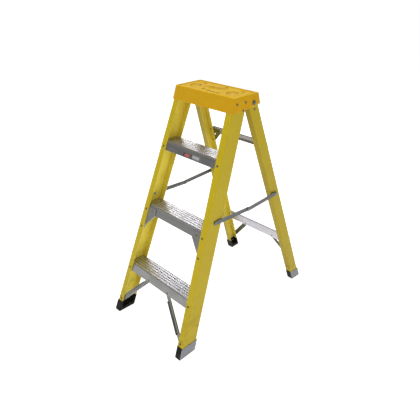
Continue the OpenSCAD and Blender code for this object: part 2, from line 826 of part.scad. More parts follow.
// Triangular plate between the rear flange and the upper bar
module rear_gusset(side) {
    s_bar = rear_bar_upper_z / cos(rear_lean);
    s_foot = gusset_foot_z / cos(rear_lean);
    color(dull_olive) on_side(side) difference() {
        on_rear() translate([0, seat_gap, 0]) rotate([90, 0, 0]) mirror([0, 0, 1])
            linear_extrude(sheet) polygon([
                [gusset_reach, s_bar + 1], [upper_rivet_x - 16, s_bar + 1],
                [upper_rivet_x - 8, s_bar + 9], [upper_rivet_x + 9, s_bar + 9],
                [gusset_foot_x + 9, s_foot - 12], [gusset_foot_x - 7, s_foot - 12],
                [gusset_reach, s_bar - upper_bar_h / 2 - 5]]);
        at_rear_flange(gusset_foot_z, gusset_foot_x) drill(rivet_r + loose, 12);
        at_rear_flange(rear_bar_upper_z, upper_rivet_x) drill(rivet_r + loose, 12);
        at_rear_flange(gusset_rivet_z, gusset_reach + 12) drill(rivet_r + loose, 12);
        // lightening hole beside the rail
        on_rear() translate([gusset_foot_x - 22, -5, s_bar - upper_bar_h / 2 - 16]) rod_y(5, 12);
    }
}

module rear_gusset_rivets() {
    color(aluminium) for (side = [-1, 1]) on_side(side) {
        at_rear_flange(gusset_foot_z, gusset_foot_x) translate([0, 0, -seat_gap - sheet])
            small_rivet(rail_t + 2 * seat_gap + sheet);
        at_rear_flange(gusset_rivet_z, gusset_reach + 12) translate([0, 0, -upper_bar_y - sheet])
            small_rivet(2 * sheet + 2 * seat_gap);
    }
}

// Wide ribbed bar behind the rear flanges: its top edge is turned back, its bottom edge
// only between the braces
module rear_bar_lower() {
    s = rear_bar_lower_z / cos(rear_lean);
    w = half_w(rear_bar_lower_z + lower_bar_h / 2) - 5;
    color(bright_aluminium) difference() {
        on_rear() translate([0, seat_gap, s]) {
            translate([-w, 0, -lower_bar_h / 2]) cube([2 * w, sheet, lower_bar_h]);
            translate([-w, 0, lower_bar_h / 2 - sheet]) cube([2 * w, 9, sheet]);
            translate([22 - brace_top_x, 0, -lower_bar_h / 2]) cube([2 * brace_top_x - 44, 9, sheet]);
            // pressed ribs along the face
            for (z = [-17, -1.5, 14]) translate([-w + 40, -0.8, z]) cube([2 * w - 80, 1, 3]);
        }
        for (side = [-1, 1], d = [-lower_rivet_step, lower_rivet_step]) on_side(side)
            at_rear_flange(rear_bar_lower_z + d, lower_rivet_x) drill(rivet_r + loose, 12);
        for (side = [-1, 1]) on_side(side) rear_brace_top_place() drill(rivet_r + loose, 12);
    }
}

rear_brace_top_z = rear_bar_lower_z - lower_bar_h / 2 * cos(rear_lean) + 11;
rear_brace_w = 25;
strap_y = 2 * seat_gap + sheet;           // front face of the strap, behind the bar

module rear_brace_foot_place() {
    at_rear_flange(rear_brace_foot[1], half_w(rear_brace_foot[1]) - rear_brace_foot[0]) children();
}

// Flat strap from the back of the lower bar to the foot of the rail, one edge turned back
module rear_brace(side) {
    top = [brace_top_x, rear_brace_top_z / cos(rear_lean)];
    foot = [half_w(rear_brace_foot[1]) - rear_brace_foot[0], rear_brace_foot[1] / cos(rear_lean)];
    run = foot - top;
    len = norm(run);
    w = rear_brace_w;
    color(dark_steel) on_side(side) difference() {
        on_rear() translate([top[0], strap_y, top[1]]) rotate([0, atan2(-run[1], run[0]), 0]) {
            translate([0, 0, -w / 2]) cube([len, sheet, w]);
            for (x = [0, len]) translate([x, 0, 0]) rod_y(w / 2, sheet);
            translate([10, 0, -w / 2]) cube([len - 20, 6, sheet]);
        }
        rear_brace_top_place() drill(rivet_r + loose, 12);
        rear_brace_foot_place() drill(rivet_r + loose, 14);
    }
}

module rear_brace_top_place() {
    at_rear_flange(rear_brace_top_z, brace_top_x) children();
}

module rear_bar_rivets() {
    color(aluminium) for (side = [-1, 1]) on_side(side) {
        at_rear_flange(rear_bar_upper_z, upper_rivet_x) translate([0, 0, -upper_bar_y - sheet])
            small_rivet(upper_bar_y + sheet + rail_t + seat_gap);
        for (d = [-lower_rivet_step, lower_rivet_step]) at_rear_flange(rear_bar_lower_z + d, lower_rivet_x)
            translate([0, 0, -seat_gap - sheet]) small_rivet(rail_t + sheet + 2 * seat_gap);
    }
}

module rear_brace_rivets() {
    color(aluminium) for (side = [-1, 1]) on_side(side) {
        rear_brace_top_place() translate([0, 0, -strap_y - sheet])
            small_rivet(2 * sheet + 2 * seat_gap + 0.8);
        rear_brace_foot_place() {
            translate([0, 0, -strap_y - sheet]) small_rivet(strap_y + sheet + rail_t + seat_gap);
            // collar between the flange and the strap
            translate([0, 0, seat_gap - strap_y]) cylinder(r = 5.5, h = strap_y - 2 * seat_gap);
        }
    }
}

// ---- spreaders ----

// Flat bar in the (y, z) plane from a to b, round ends, with an eye at a and at b
module bar(a, b, x, eye_a, eye_b) {
    run = b - a;
    len = norm(run);
    translate([x, a[0], a[1]]) rotate([atan2(run[1], run[0]), 0, 0]) difference() {
        union() {
            translate([0, 0, -bar_w / 2]) cube([bar_t, len, bar_w]);
            rod_x(bar_w / 2, bar_t);
            translate([0, len, 0]) rod_x(bar_w / 2, bar_t);
        }
        translate([-1, 0, 0]) rod_x(eye_a, bar_t + 2);
        translate([-1, len, 0]) rod_x(eye_b, bar_t + 2);
    }
}

module spreader_front(side) {
    color(dark_steel) on_side(side) bar(pivot_f, pivot_m, link_f_x, pin_r + fit, pin_r + loose);
}

module spreader_rear(side) {
    color(dark_steel) on_side(side) bar(pivot_r, pivot_m, link_r_x, pin_r + fit, pin_r + loose);
}

// Outer half of the rivet that a link turns on: collar on the web, shank and head.
// The pins below cut it, and the tail, flush with the web's two faces.
module spreader_pin(yz, x_link, x_web) {
    collar_to = x_link - face_gap / 2;
    translate([x_web - 8, yz[0], yz[1]]) rod_x(pin_r, x_link + bar_t + face_gap + 8 - x_web);
    translate([x_link + bar_t + face_gap, yz[0], yz[1]]) rotate([0, 90, 0]) dome(8, 2.6);
    translate([x_web - 2, yz[0], yz[1]]) rod_x(9, collar_to - x_web + 2);
}

// The round tail on the inner face of the web
module spreader_tail(yz, x_web) {
    translate([x_web - rail_t - 3.2, yz[0], yz[1]]) rod_x(7, 4.2);
}

module spreader_pin_front(side) {
    x_web = front_web_x(spreader_z, front_d / 2);
    color(dark_steel) on_side(side) {
        intersection() {
            spreader_pin(pivot_f, link_f_x, x_web);
            outside_front();
        }
        intersection() {
            spreader_tail(pivot_f, x_web);
            inside_front();
        }
        translate([x_web - rail_t - 3.2, pivot_f[0], pivot_f[1]]) rod_x(pin_r, rail_t + 5);
    }
}

module spreader_pin_rear(side) {
    x_web = rear_web_x(spreader_z, rear_d / 2);
    color(dark_steel) on_side(side) {
        intersection() {
            spreader_pin(pivot_r, link_r_x, x_web);
            outside_rear();
        }
        intersection() {
            spreader_tail(pivot_r, x_web);
            inside_rear();
        }
        translate([x_web - rail_t - 3.2, pivot_r[0], pivot_r[1]]) rod_x(pin_r, rail_t + 5);
    }
}

// The middle joint is open: its tail stays with the front link, its head with the rear link
module spreader_joint_tail(side) {
    color(dark_steel) on_side(side) translate([link_f_x, pivot_m[0], pivot_m[1]]) {
        rod_x(pin_r, bar_t);
        translate([-2.4, 0, 0]) rod_x(7, 2.4);
    }
}

module spreader_joint_head(side) {
    color(dark_steel) on_side(side) translate([link_r_x, pivot_m[0], pivot_m[1]]) {
        rod_x(pin_r, bar_t);
        translate([bar_t, 0, 0]) rotate([0, 90, 0]) dome(8, 2.6);
    }
}

// ---- label ----

// Blank plate on the apron of the top tread
module label_plate() {
    z = step_z[2] - nose_r - 21;
    color("white") on_front() translate([-41, apron_n - seat_gap / 2, (z - 8) / cos(front_lean)])
        rotate([90, 0, 0]) linear_extrude(0.6) soft_rect(54, 16, 1.5);
}

top_cap();
front_rail(-1);  // front_rail_left
front_rail(1);  // front_rail_right
tread_top();
tread_middle();
tread_bottom();
tread_rivets_front();
tread_rivets_rear();
knee_brace(-1);  // knee_brace_left
knee_brace(1);  // knee_brace_right
knee_brace_rivets();
foot_brace(-1);  // foot_brace_left
foot_brace(1);  // foot_brace_right
foot_brace_rivets();
front_boot(-1);  // front_boot_left
front_boot(1);  // front_boot_right
front_pad(-1);  // front_pad_left
front_pad(1);  // front_pad_right
front_foot_rivets();
cap_rivets();
label_plate();
hinge_bolt(-1);  // hinge_bolt_left
hinge_bolt(1);  // hinge_bolt_right
hinge_nut(-1);  // hinge_nut_left
hinge_nut(1);  // hinge_nut_right
spreader_pin_front(-1);  // spreader_pin_front_left
spreader_pin_front(1);  // spreader_pin_front_right
rear_rail(-1);  // rear_rail_left
rear_rail(1);  // rear_rail_right
rear_bar_upper();
rear_bar_lower();
rear_gusset(-1);  // rear_gusset_left
rear_gusset(1);  // rear_gusset_right
rear_brace(-1);  // rear_brace_left
rear_brace(1);  // rear_brace_right
rear_bar_rivets();
rear_gusset_rivets();
rear_brace_rivets();
rear_boot(-1);  // rear_boot_left
rear_boot(1);  // rear_boot_right
rear_foot(-1);  // rear_foot_left
rear_foot(1);  // rear_foot_right
rear_foot_rivets();
hinge_plate(-1);  // hinge_plate_left
hinge_plate(1);  // hinge_plate_right
hinge_plate_rivets();
hinge_bushing(-1);  // hinge_bushing_left
hinge_bushing(1);  // hinge_bushing_right
spreader_pin_rear(-1);  // spreader_pin_rear_left
spreader_pin_rear(1);  // spreader_pin_rear_right
spreader_front(-1);  // spreader_front_left
spreader_front(1);  // spreader_front_right
spreader_rear(-1);  // spreader_rear_left
spreader_rear(1);  // spreader_rear_right
spreader_joint_tail(-1);  // spreader_joint_tail_left
spreader_joint_tail(1);  // spreader_joint_tail_right
spreader_joint_head(-1);  // spreader_joint_head_left
spreader_joint_head(1);  // spreader_joint_head_right
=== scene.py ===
import json
import math

import bmesh
import bpy
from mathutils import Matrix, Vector


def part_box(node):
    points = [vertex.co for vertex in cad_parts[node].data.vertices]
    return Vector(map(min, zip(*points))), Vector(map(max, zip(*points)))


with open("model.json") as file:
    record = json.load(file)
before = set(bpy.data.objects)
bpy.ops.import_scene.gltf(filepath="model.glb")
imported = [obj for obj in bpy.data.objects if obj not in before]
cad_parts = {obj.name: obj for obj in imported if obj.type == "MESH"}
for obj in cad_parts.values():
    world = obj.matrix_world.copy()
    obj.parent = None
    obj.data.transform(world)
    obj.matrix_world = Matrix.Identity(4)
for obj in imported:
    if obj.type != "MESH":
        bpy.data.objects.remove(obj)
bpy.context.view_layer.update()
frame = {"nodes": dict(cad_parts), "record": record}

# Angles and levels of the ladder, in the frame of the CAD part
FRONT_LEAN = math.radians(20.45)
REAR_LEAN = math.radians(19.0)
LOWEST_DECK_Z = 0.266
DECK_RISE = 0.305
CAP_TOP_Z = 1.125
MARK_X, MARK_Z = (0.018, 0.062), (0.843, 0.856)   # pale mark on the top apron
FRONT_SKINS = (-0.43944, -0.35454)
REAR_SKINS = (0.38729, 0.44345)
FLOOR_REACH = 90                    # half the width of the floor, metres
CAMERA_PLACE = (1.3977, -1.4122, 1.5873)
CAMERA_TURN = (math.radians(61.635), 0.0, math.radians(45.045))
LENS_MM, SENSOR_MM = 38.0, 36.0


def srgb(red, green, blue):
    """A colour given as 0-255 display values, as the linear values that shaders take."""
    def linear(v):
        v /= 255
        return v / 12.92 if v <= 0.04045 else ((v + 0.055) / 1.055) ** 2.4
    return (linear(red), linear(green), linear(blue), 1.0)


# ---------------------------------------------------------------- shader arithmetic

class Value:
    """One output of a finish's node tree. Arithmetic on it adds Math nodes."""

    def __init__(self, finish, socket):
        self.finish, self.socket = finish, socket

    def math(self, operation, *others):
        return self.finish.add("ShaderNodeMath", {"operation": operation},
                               dict(enumerate((self, *others))))

    def __add__(self, other):
        return self.math("ADD", other)

    def __mul__(self, other):
        return self.math("MULTIPLY", other)

    def __sub__(self, other):
        return self.math("SUBTRACT", other)

    def __truediv__(self, other):
        return self.math("DIVIDE", other)

    def __rsub__(self, other):
        return self.finish.add("ShaderNodeMath", {"operation": "SUBTRACT"}, {0: other, 1: self})

    __radd__, __rmul__ = __add__, __mul__

    def above(self, level, soft):
        """0 below level - soft, 1 above level + soft, and smooth between."""
        return self.finish.add("ShaderNodeMapRange",
                               {"interpolation_type": "SMOOTHSTEP", "clamp": True},
                               {"Value": self, "From Min": level - soft, "From Max": level + soft,
                                "To Min": 0.0, "To Max": 1.0})

    def below(self, level, soft):
        return 1.0 - self.above(level, soft)

    def between(self, low, high, soft):
        return self.above(low, soft) * self.below(high, soft)

    def spread(self, low, high):
        """Stretches 0..1 to low..high."""
        return self * (high - low) + low


class Finish:
    """One material: a node tree and the shader that it feeds."""

    def __init__(self, name, **fixed):
        self.material = bpy.data.materials.new(name)
        self.material.use_nodes = True
        self.tree = self.material.node_tree
        self.tree.nodes.clear()
        out = self.tree.nodes.new("ShaderNodeOutputMaterial")
        self.shader = self.tree.nodes.new("ShaderNodeBsdfPrincipled")
        self.tree.links.new(self.shader.outputs[0], out.inputs["Surface"])
        self.feed(**fixed)
        self._point = self._facing = None

    def feed(self, **sockets):
        """Sets or links sockets of the shader: base_color is Base Color, and so on."""
        for name, value in sockets.items():
            words = name.replace("ior", "IOR").split("_")
            title = " ".join(w if w.isupper() else w.capitalize() for w in words)
            self.join(self.shader.inputs[title], value)

    def join(self, socket, value):
        if isinstance(value, Value):
            self.tree.links.new(value.socket, socket)
        else:
            socket.default_value = value

    def add(self, kind, settings=None, sockets=None, out=0):
        """Adds a node of that kind: settings first, then the values or links of its sockets."""
        node = self.tree.nodes.new(kind)
        for name, value in (settings or {}).items():
            setattr(node, name, value)
        for name, value in (sockets or {}).items():
            self.join(node.inputs[name], value)
        return Value(self, node.outputs[out])

    # ---- places on the piece

    def point(self):
        """The place on the ladder, in metres, at rest."""
        if self._point is None:
            self._point = self.add("ShaderNodeTexCoord", out="Object")
        return self._point

    def axis(self, name, vector=None):
        return self.add("ShaderNodeSeparateXYZ", None, {0: vector or self.point()},
                        out="XYZ".index(name.upper()))

    def facing(self, name):
        """How much the surface faces along an axis, -1 to 1."""
        if self._facing is None:
            self._facing = self.add("ShaderNodeNewGeometry", out="True Normal")
        return self.axis(name, self._facing)

    def turned(self, angle):
        """The place in axes that lean with a rail: Z runs up along it."""
        return self.add("ShaderNodeVectorRotate", {"rotation_type": "X_AXIS"},
                        {"Vector": self.point(), "Angle": angle})

    def stretched(self, vector, x, y, z):
        return self.add("ShaderNodeVectorMath", {"operation": "MULTIPLY"},
                        {0: vector, 1: (x, y, z)})

    # ---- patterns

    def noise(self, vector, scale, detail=3.0, rough=0.5):
        return self.add("ShaderNodeTexNoise", {"noise_dimensions": "3D"},
                        {"Vector": vector, "Scale": scale, "Detail": detail, "Roughness": rough})

    def spots(self, vector, scale):
        return self.add("ShaderNodeTexVoronoi", {"feature": "F1"},
                        {"Vector": vector, "Scale": scale}, out="Distance")

    def cracks(self, vector, scale):
        return self.add("ShaderNodeTexVoronoi", {"feature": "DISTANCE_TO_EDGE"},
                        {"Vector": vector, "Scale": scale}, out="Distance")

    def ridges(self, coordinate, pitch):
        """Even rounded ridges, 0..1, across a coordinate."""
        return (coordinate * (math.tau / pitch)).math("SINE").spread(0.5, 1.0)

    def blend(self, share, first, second):
        """Two colours, mixed by a share of the second."""
        return self.add("ShaderNodeMix", {"data_type": "RGBA", "blend_type": "MIX"},
                        {0: share, 6: first, 7: second}, out=2)

    def shade(self, colour, amount):
        """A colour made lighter or darker by a factor that varies over the surface."""
        grey = self.add("ShaderNodeCombineXYZ", None, {0: amount, 1: amount, 2: amount})
        return self.add("ShaderNodeMix", {"data_type": "RGBA", "blend_type": "MULTIPLY"},
                        {0: 1.0, 6: colour, 7: grey}, out=2)

    # ---- edges and relief

    def rounded(self, radius):
        """Normals as if every edge had this radius."""
        return self.add("ShaderNodeBevel", {"samples": 4}, {"Radius": radius})

    def edges(self, radius):
        """1 on the piece's edges, 0 on its flats."""
        flat = self.add("ShaderNodeNewGeometry", out="True Normal")
        agree = self.add("ShaderNodeVectorMath", {"operation": "DOT_PRODUCT"},
                         {0: self.rounded(radius), 1: flat}, out="Value")
        return agree.below(0.93, 0.06)

    def relief(self, height, distance, strength=1.0, normal=None):
        sockets = {"Height": height, "Distance": distance, "Strength": strength}
        if normal:
            sockets["Normal"] = normal
        return self.add("ShaderNodeBump", None, sockets)


# ---------------------------------------------------------------- finishes

def fibreglass(name, angle, skins, tone, front_light_and_shade):
    """Pultruded channel: yellow resin over glass rovings that run along the rail.

    skins: where the front and the rear face lie, across the rail.
    tone: painted shade that sets how light the whole rail is, darker on the rear rails;
    front_light_and_shade: painted light (above 1) and painted shade (below 1) on the front
    flange, against the web.
    """
    f = Finish(name, specular_ior_level=0.18, coat_roughness=0.25)
    along = f.turned(angle)
    rovings = f.noise(f.stretched(along, 420, 420, 9), 1.0, 4.0, 0.62)
    fine = f.noise(f.stretched(along, 1500, 1500, 60), 1.0, 2.0, 0.6)
    veil = f.cracks(f.stretched(along, 150, 150, 70), 1.0).below(0.055, 0.05)
    cloudy = f.noise(along, 7.0, 3.0, 0.55)
    height = f.axis("z")
    grime = f.noise(f.point(), 26.0, 5.0, 0.6).above(0.56, 0.13) * height.below(0.20, 0.20)
    scuffs = f.noise(f.stretched(along, 90, 90, 16), 1.0, 5.0, 0.7).above(0.66, 0.05)
    # edge mask for a painted highlight along the edges, which also stands for edge wear
    edge_wear_and_highlight = f.edges(0.0022)
    across = f.axis("y", along)
    outward = f.facing("x") * f.axis("x").math("SIGN")
    inside = across.between(skins[0] + 0.001, skins[1] - 0.001, 0.0006) * outward.below(0.6, 0.1)
    front = f.facing("y").below(-0.7, 0.1) * (1.0 - inside)

    tint = f.blend(rovings.spread(0.1, 0.9), srgb(181, 158, 6), srgb(198, 175, 11))
    # painted light: the faces inside the channel are painted much lighter, standing in for light
    # reaching into it
    tint = f.blend(inside * 0.90, tint, srgb(246, 228, 88))
    tint = f.blend(cloudy.above(0.5, 0.22) * 0.35, tint, srgb(180, 152, 8))
    tint = f.blend(veil * 0.10, tint, srgb(222, 206, 66))
    # painted highlight along the rail's edges, strongest on the front corner, with some edge wear
    tint = f.blend(edge_wear_and_highlight * 0.35, tint, srgb(232, 214, 84))
    tint = f.blend(scuffs * 0.22, tint, srgb(150, 136, 50))
    tint = f.blend(grime * 0.40, tint, srgb(112, 102, 46))
    tint = f.shade(tint, fine.spread(0.93, 1.07))
    # painted light and shade: the front flange lighter on the front rails and darker on the rear
    # rails, the whole rail scaled by tone
    f.feed(base_color=f.shade(tint, front.spread(1.0, front_light_and_shade) * tone))
    f.feed(roughness=(rovings * 0.16 + 0.36) + scuffs * 0.16 + grime * 0.2)
    f.feed(coat_weight=0.08 - scuffs * 0.05 - grime * 0.06)
    f.feed(normal=f.relief(rovings * 0.8 + veil * 0.4 + fine * 0.2, 0.00018, 0.55,
                           f.rounded(0.0012)))
    return f.material


def cap_moulding():
    """Injection-moulded cap: golden yellow, finely grained, polished where hands rub, with a
    painted highlight along its edges, its top painted lighter than the faces below it as painted
    light, and painted shade in the recesses of its top.
    """
    f = Finish("cap_moulding", specular_ior_level=0.03, coat_roughness=0.4)
    grain = f.spots(f.point(), 1300.0)
    flow = f.noise(f.stretched(f.point(), 14, 22, 22), 1.0, 4.0, 0.55)
    mottle = f.noise(f.point(), 60.0, 3.0, 0.6)
    # edge mask: painted highlight along the cap's edges, which are also polished by hands
    rubbed_and_highlight = f.edges(0.003)
    top = f.facing("z").above(0.6, 0.2)
    dust = f.noise(f.point(), 38.0, 5.0, 0.65).above(0.57, 0.1) * top
    scratch = f.noise(f.stretched(f.turned(0.0), 30, 700, 700), 1.0, 3.0, 0.6).above(0.68, 0.03)
    # painted shade on the floors of the recesses in the cap's top
    recess_shade = top * f.axis("z").below(CAP_TOP_Z - 0.0035, 0.0006)

    # painted light and shade: the top painted much lighter and the faces below it darker, by
    # which way they face
    shaded_sides = f.blend(flow, srgb(196, 150, 24), srgb(208, 164, 36))
    lit_crown = f.blend(flow, srgb(250, 198, 0), srgb(255, 210, 6))
    tint = f.blend(top, shaded_sides, lit_crown)
    # painted shade in the recesses
    tint = f.blend(recess_shade * 0.55, tint, srgb(206, 130, 2))
    tint = f.blend(mottle.above(0.52, 0.2) * 0.3, tint, srgb(218, 156, 2))
    # painted highlight along the cap's edges
    tint = f.blend(rubbed_and_highlight * 0.55, tint, srgb(255, 222, 90))
    tint = f.blend(dust * 0.07, tint, srgb(190, 158, 74))
    tint = f.blend(scratch * 0.09, tint, srgb(248, 214, 96))
    f.feed(base_color=tint)
    f.feed(roughness=grain.spread(0.52, 0.68) - rubbed_and_highlight * 0.16 + dust * 0.12)
    f.feed(coat_weight=rubbed_and_highlight * 0.12)
    f.feed(normal=f.relief(grain + mottle * 0.5, 0.00012, 0.45, f.rounded(0.0012)))
    return f.material


def tread_metal():
    """Extruded tread: drawn lines along its length, bright bands on the decks and a dull apron
    (the decks painted lighter and the aprons darker as painted light and shade), painted shade in
    the deck's channels, a painted highlight along the edges.
    """
    f = Finish("tread_metal", specular_ior_level=0.5)
    drawn = f.noise(f.stretched(f.point(), 5, 900, 900), 1.0, 5.0, 0.65)
    wide = f.noise(f.stretched(f.point(), 2.2, 130, 130), 1.0, 3.0, 0.5)
    blotch = f.noise(f.point(), 18.0, 5.0, 0.6)
    deck = f.facing("z").above(0.75, 0.12)
    over_deck = (f.axis("z") - (LOWEST_DECK_Z - 0.1)).math("FLOORED_MODULO", DECK_RISE) - 0.1
    # painted shade in the deck's channels, below the deck's top
    groove_shade = deck * over_deck.below(-0.0003, 0.0002)
    teeth = f.ridges(f.axis("x"), 0.0032)
    edge_wear_and_highlight = f.edges(0.0014)
    dirt = blotch.above(0.53, 0.12)
    mark = (f.axis("x").between(*MARK_X, 0.002) * f.axis("z").between(*MARK_Z, 0.002)
            * blotch.above(0.40, 0.15))
    scuff = f.noise(f.stretched(f.point(), 24, 240, 24), 1.0, 4.0, 0.6).above(0.62, 0.08)

    # painted light and shade: one aluminium, painted much lighter where it faces up and darker on
    # the aprons
    shaded_apron_tint = f.blend(wide, srgb(128, 128, 127), srgb(154, 154, 152))
    lit_deck_tint = f.blend(wide, srgb(216, 214, 222), srgb(236, 235, 240))
    tint = f.blend(deck, shaded_apron_tint, lit_deck_tint)
    # painted shade: the deck's channels darkened
    tint = f.blend(groove_shade * 0.75, tint, srgb(58, 56, 54))
    tint = f.blend(dirt * 0.16, tint, srgb(118, 114, 104))
    tint = f.blend(scuff * 0.12, tint, srgb(96, 94, 90))
    # painted highlight along the tread's edges, with edge wear
    tint = f.blend(edge_wear_and_highlight * 0.45, tint, srgb(240, 240, 240))
    tint = f.blend(mark * 0.9, tint, srgb(214, 214, 218))
    f.feed(base_color=f.shade(tint, drawn.spread(0.93, 1.07)))
    f.feed(metallic=0.92 - groove_shade * 0.5)
    f.feed(roughness=drawn.spread(0.24, 0.36) + dirt * 0.08 - deck * 0.06 + groove_shade * 0.2)
    f.feed(normal=f.relief(drawn * 0.7 + teeth * deck * 0.6, 0.00014, 0.4, f.rounded(0.0008)))
    return f.material


def pressed_sheet(name, low, high, metallic, rough, angle=0.0):
    """Bent sheet aluminium: rolled grain, handling marks, bright cut edges made lighter still by
    a painted highlight along every edge.
    """
    f = Finish(name, specular_ior_level=0.5)
    along = f.turned(angle)
    rolled = f.noise(f.stretched(along, 40, 700, 700), 1.0, 4.0, 0.6)
    patch = f.noise(f.point(), 32.0, 5.0, 0.62)
    marks = f.noise(f.stretched(along, 600, 90, 120), 1.0, 3.0, 0.6).above(0.67, 0.04)
    edge_wear_and_highlight = f.edges(0.0012)
    tint = f.blend(patch, low, high)
    # painted highlight along the edges, with edge wear
    tint = f.blend(edge_wear_and_highlight * 0.5, tint, srgb(226, 226, 222))
    tint = f.blend(marks * 0.25, tint, srgb(92, 90, 82))
    f.feed(base_color=f.shade(tint, rolled.spread(0.92, 1.08)), metallic=metallic)
    f.feed(roughness=rolled.spread(rough - 0.07, rough + 0.07) + marks * 0.1)
    f.feed(normal=f.relief(rolled * 0.6 + patch * 0.5, 0.0002, 0.4, f.rounded(0.0007)))
    return f.material


def ridged_bar():
    """The lower rear bar: bright, with fine lines rolled along it."""
    f = Finish("ridged_bar", specular_ior_level=0.5)
    up = f.axis("z", f.turned(-REAR_LEAN))
    lines = f.ridges(up, 0.0042)
    rolled = f.noise(f.stretched(f.point(), 12, 700, 700), 1.0, 4.0, 0.6)
    patch = f.noise(f.point(), 22.0, 4.0, 0.6)
    edge_wear_and_highlight = f.edges(0.0012)
    tint = f.blend(patch, srgb(180, 179, 187), srgb(214, 213, 221))
    tint = f.blend(lines * 0.25, tint, srgb(178, 176, 188))
    # painted highlight along the bar's edges, with edge wear
    tint = f.blend(edge_wear_and_highlight * 0.4, tint, srgb(250, 250, 252))
    f.feed(base_color=f.shade(tint, rolled.spread(0.94, 1.06)), metallic=0.55)
    f.feed(roughness=rolled.spread(0.26, 0.40))
    f.feed(normal=f.relief(lines + rolled * 0.2, 0.0004, 0.6, f.rounded(0.0007)))
    return f.material


def rivet_metal(name, low, high, rough):
    """Set rivets: hammered heads, tarnished in patches."""
    f = Finish(name, specular_ior_level=0.5)
    beaten = f.noise(f.point(), 420.0, 3.0, 0.6)
    tarnish = f.noise(f.point(), 150.0, 4.0, 0.65)
    edge_wear_and_highlight = f.edges(0.0010)
    tint = f.blend(tarnish.above(0.5, 0.2), low, high)
    # painted highlight along the rivet edges, with edge wear
    tint = f.blend(edge_wear_and_highlight * 0.25, tint, srgb(214, 210, 196))
    f.feed(base_color=tint, metallic=0.8)
    f.feed(roughness=tarnish.spread(rough - 0.08, rough + 0.1))
    f.feed(normal=f.relief(beaten, 0.0003, 0.5, f.rounded(0.0005)))
    return f.material


def plated_steel(name, low, high, rough, metallic):
    """Plated or painted steel: speckled zinc, bright on its edges from a painted highlight and
    from rubbing.
    """
    f = Finish(name, specular_ior_level=0.5)
    spangle = f.spots(f.point(), 260.0)
    drift = f.noise(f.point(), 24.0, 5.0, 0.6)
    drawn = f.noise(f.stretched(f.point(), 900, 60, 300), 1.0, 3.0, 0.6)
    edge_wear_and_highlight = f.edges(0.0011)
    tint = f.blend(drift, low, high)
    tint = f.shade(tint, spangle.spread(0.86, 1.16))
    # painted highlight along the edges, with edge wear
    tint = f.blend(edge_wear_and_highlight * 0.4, tint, srgb(150, 154, 148))
    f.feed(base_color=tint, metallic=metallic)
    f.feed(roughness=drawn.spread(rough - 0.08, rough + 0.08))
    f.feed(normal=f.relief(spangle * 0.5 + drawn * 0.4, 0.0002, 0.4, f.rounded(0.0007)))
    return f.material


def foot_rubber():
    """Moulded rubber: matt black, fine grain, grey dust in the low places."""
    f = Finish("foot_rubber", specular_ior_level=0.2)
    grain = f.noise(f.point(), 900.0, 2.0, 0.6)
    pits = f.spots(f.point(), 420.0)
    dust = f.noise(f.point(), 60.0, 5.0, 0.65).above(0.55, 0.14) * f.axis("z").below(0.03, 0.03)
    edge_wear_and_highlight = f.edges(0.0016)
    tint = f.blend(grain, srgb(8, 8, 9), srgb(20, 20, 21))
    # painted highlight along the rubber's edges, with edge wear
    tint = f.blend(edge_wear_and_highlight * 0.3, tint, srgb(44, 43, 42))
    tint = f.blend(dust * 0.4, tint, srgb(92, 88, 80))
    f.feed(base_color=tint, roughness=grain.spread(0.62, 0.86))
    f.feed(normal=f.relief(grain * 0.6 + pits * 0.6, 0.00025, 0.5, f.rounded(0.0012)))
    return f.material


def bush_nylon():
    f = Finish("bush_nylon", specular_ior_level=0.4)
    grain = f.noise(f.point(), 700.0, 3.0, 0.6)
    tint = f.blend(grain, srgb(24, 24, 25), srgb(46, 46, 47))
    f.feed(base_color=tint, roughness=grain.spread(0.42, 0.6))
    f.feed(normal=f.relief(grain, 0.00015, 0.4, f.rounded(0.0006)))
    return f.material


def blank_label():
    """Plain banded film: a red field with pale bars in a black frame, no lettering."""
    f = Finish("blank_label", specular_ior_level=0.5, coat_roughness=0.15)
    low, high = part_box("label_plate")
    across = (f.axis("x") - low.x) / (high.x - low.x)
    up = (f.axis("z") - low.z) / (high.z - low.z)
    film = f.noise(f.point(), 300.0, 3.0, 0.6)
    rubbed_and_highlight = f.noise(f.point(), 120.0, 4.0, 0.65).above(0.6, 0.08)
    red = across.between(0.12, 0.80, 0.008) * up.between(0.14, 0.86, 0.03)
    bars = across.between(0.20, 0.70, 0.008) * (
        up.between(0.24, 0.38, 0.03) + up.between(0.60, 0.76, 0.03))
    corner = across.between(0.86, 0.95, 0.008) * up.between(0.2, 0.8, 0.03)
    tint = f.blend(film, srgb(30, 28, 29), srgb(48, 46, 47))
    tint = f.blend(red, tint, srgb(176, 62, 58))
    tint = f.blend(bars * 0.55, tint, srgb(206, 150, 146))
    tint = f.blend(corner * 0.6, tint, srgb(150, 140, 138))
    tint = f.blend(rubbed_and_highlight * 0.25, tint, srgb(120, 116, 112))
    f.feed(base_color=f.shade(tint, film.spread(0.92, 1.06)), coat_weight=0.3)
    f.feed(roughness=film.spread(0.34, 0.5) + rubbed_and_highlight * 0.1)
    f.feed(normal=f.relief(film, 0.00008, 0.3, f.rounded(0.0004)))
    return f.material


def studio_floor():
    f = Finish("studio_floor", specular_ior_level=0.1, roughness=0.9,
               emission_color=(1.0, 1.0, 1.0, 1.0), emission_strength=0.80)
    drift = f.noise(f.point(), 1.5, 2.0, 0.5)
    f.feed(base_color=f.blend(drift, (0.90, 0.90, 0.90, 1.0), (0.93, 0.93, 0.93, 1.0)))
    return f.material


# ---------------------------------------------------------------- which node takes which finish

